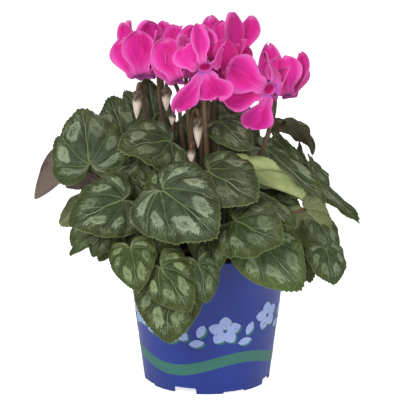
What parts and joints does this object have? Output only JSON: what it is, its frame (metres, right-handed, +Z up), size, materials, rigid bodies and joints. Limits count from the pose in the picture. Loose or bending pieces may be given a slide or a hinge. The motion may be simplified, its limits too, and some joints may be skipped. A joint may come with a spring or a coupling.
{
  "type": "potted cyclamen",
  "caption": "Cyclamen in a tapered blue plastic pot: silver-marbled heart-shaped leaves on long stalks, with swept-back pink flowers and hanging buds above them.",
  "frame": {"origin": "centre of the flat foot that the pot stands on", "axes": "+Z up through the pot's middle, -Y towards the viewer of the picture, +X to the viewer's right"},
  "size_m": [0.2613, 0.2149, 0.2876],
  "materials": {
    "pot_plastic": "satin",
    "soil": "matte",
    "tuber": "matte",
    "leaf": "satin",
    "stalk": "satin",
    "petal": "matte",
    "bud": "matte"
  },
  "bodies": {
    "root": {"pot": "pot_plastic", "soil": "soil", "tuber": "tuber", "leaf_01": "leaf", "leaf_02": "leaf", "leaf_03": "leaf", "leaf_04": "leaf", "leaf_05": "leaf", "leaf_06": "leaf", "leaf_07": "leaf", "leaf_08": "leaf", "leaf_09": "leaf", "leaf_10": "leaf", "leaf_11": "leaf", "leaf_12": "leaf", "leaf_13": "leaf", "leaf_14": "leaf", "leaf_15": "leaf", "leaf_16": "leaf", "leaf_17": "leaf", "leaf_18": "leaf", "leaf_19": "leaf", "leaf_20": "leaf", "leaf_21": "leaf", "leaf_22": "leaf", "leaf_23": "leaf", "leaf_24": "leaf", "leaf_25": "leaf", "leaf_26": "leaf", "flower_1_petals": "petal", "flower_1_stalk": "stalk", "flower_2_petals": "petal", "flower_2_stalk": "stalk", "flower_3_petals": "petal", "flower_3_stalk": "stalk", "flower_4_petals": "petal", "flower_4_stalk": "stalk", "flower_5_petals": "petal", "flower_5_stalk": "stalk", "flower_6_petals": "petal", "flower_6_stalk": "stalk", "flower_7_petals": "petal", "flower_7_stalk": "stalk", "flower_8_petals": "petal", "flower_8_stalk": "stalk", "flower_9_petals": "petal", "flower_9_stalk": "stalk", "flower_10_petals": "petal", "flower_10_stalk": "stalk", "bud_1_petals": "bud", "bud_1_stalk": "stalk", "bud_2_petals": "bud", "bud_2_stalk": "stalk", "bud_3_petals": "bud", "bud_3_stalk": "stalk", "young_bud_1": "stalk", "young_bud_2": "stalk"}
  },
  "joints": []
}
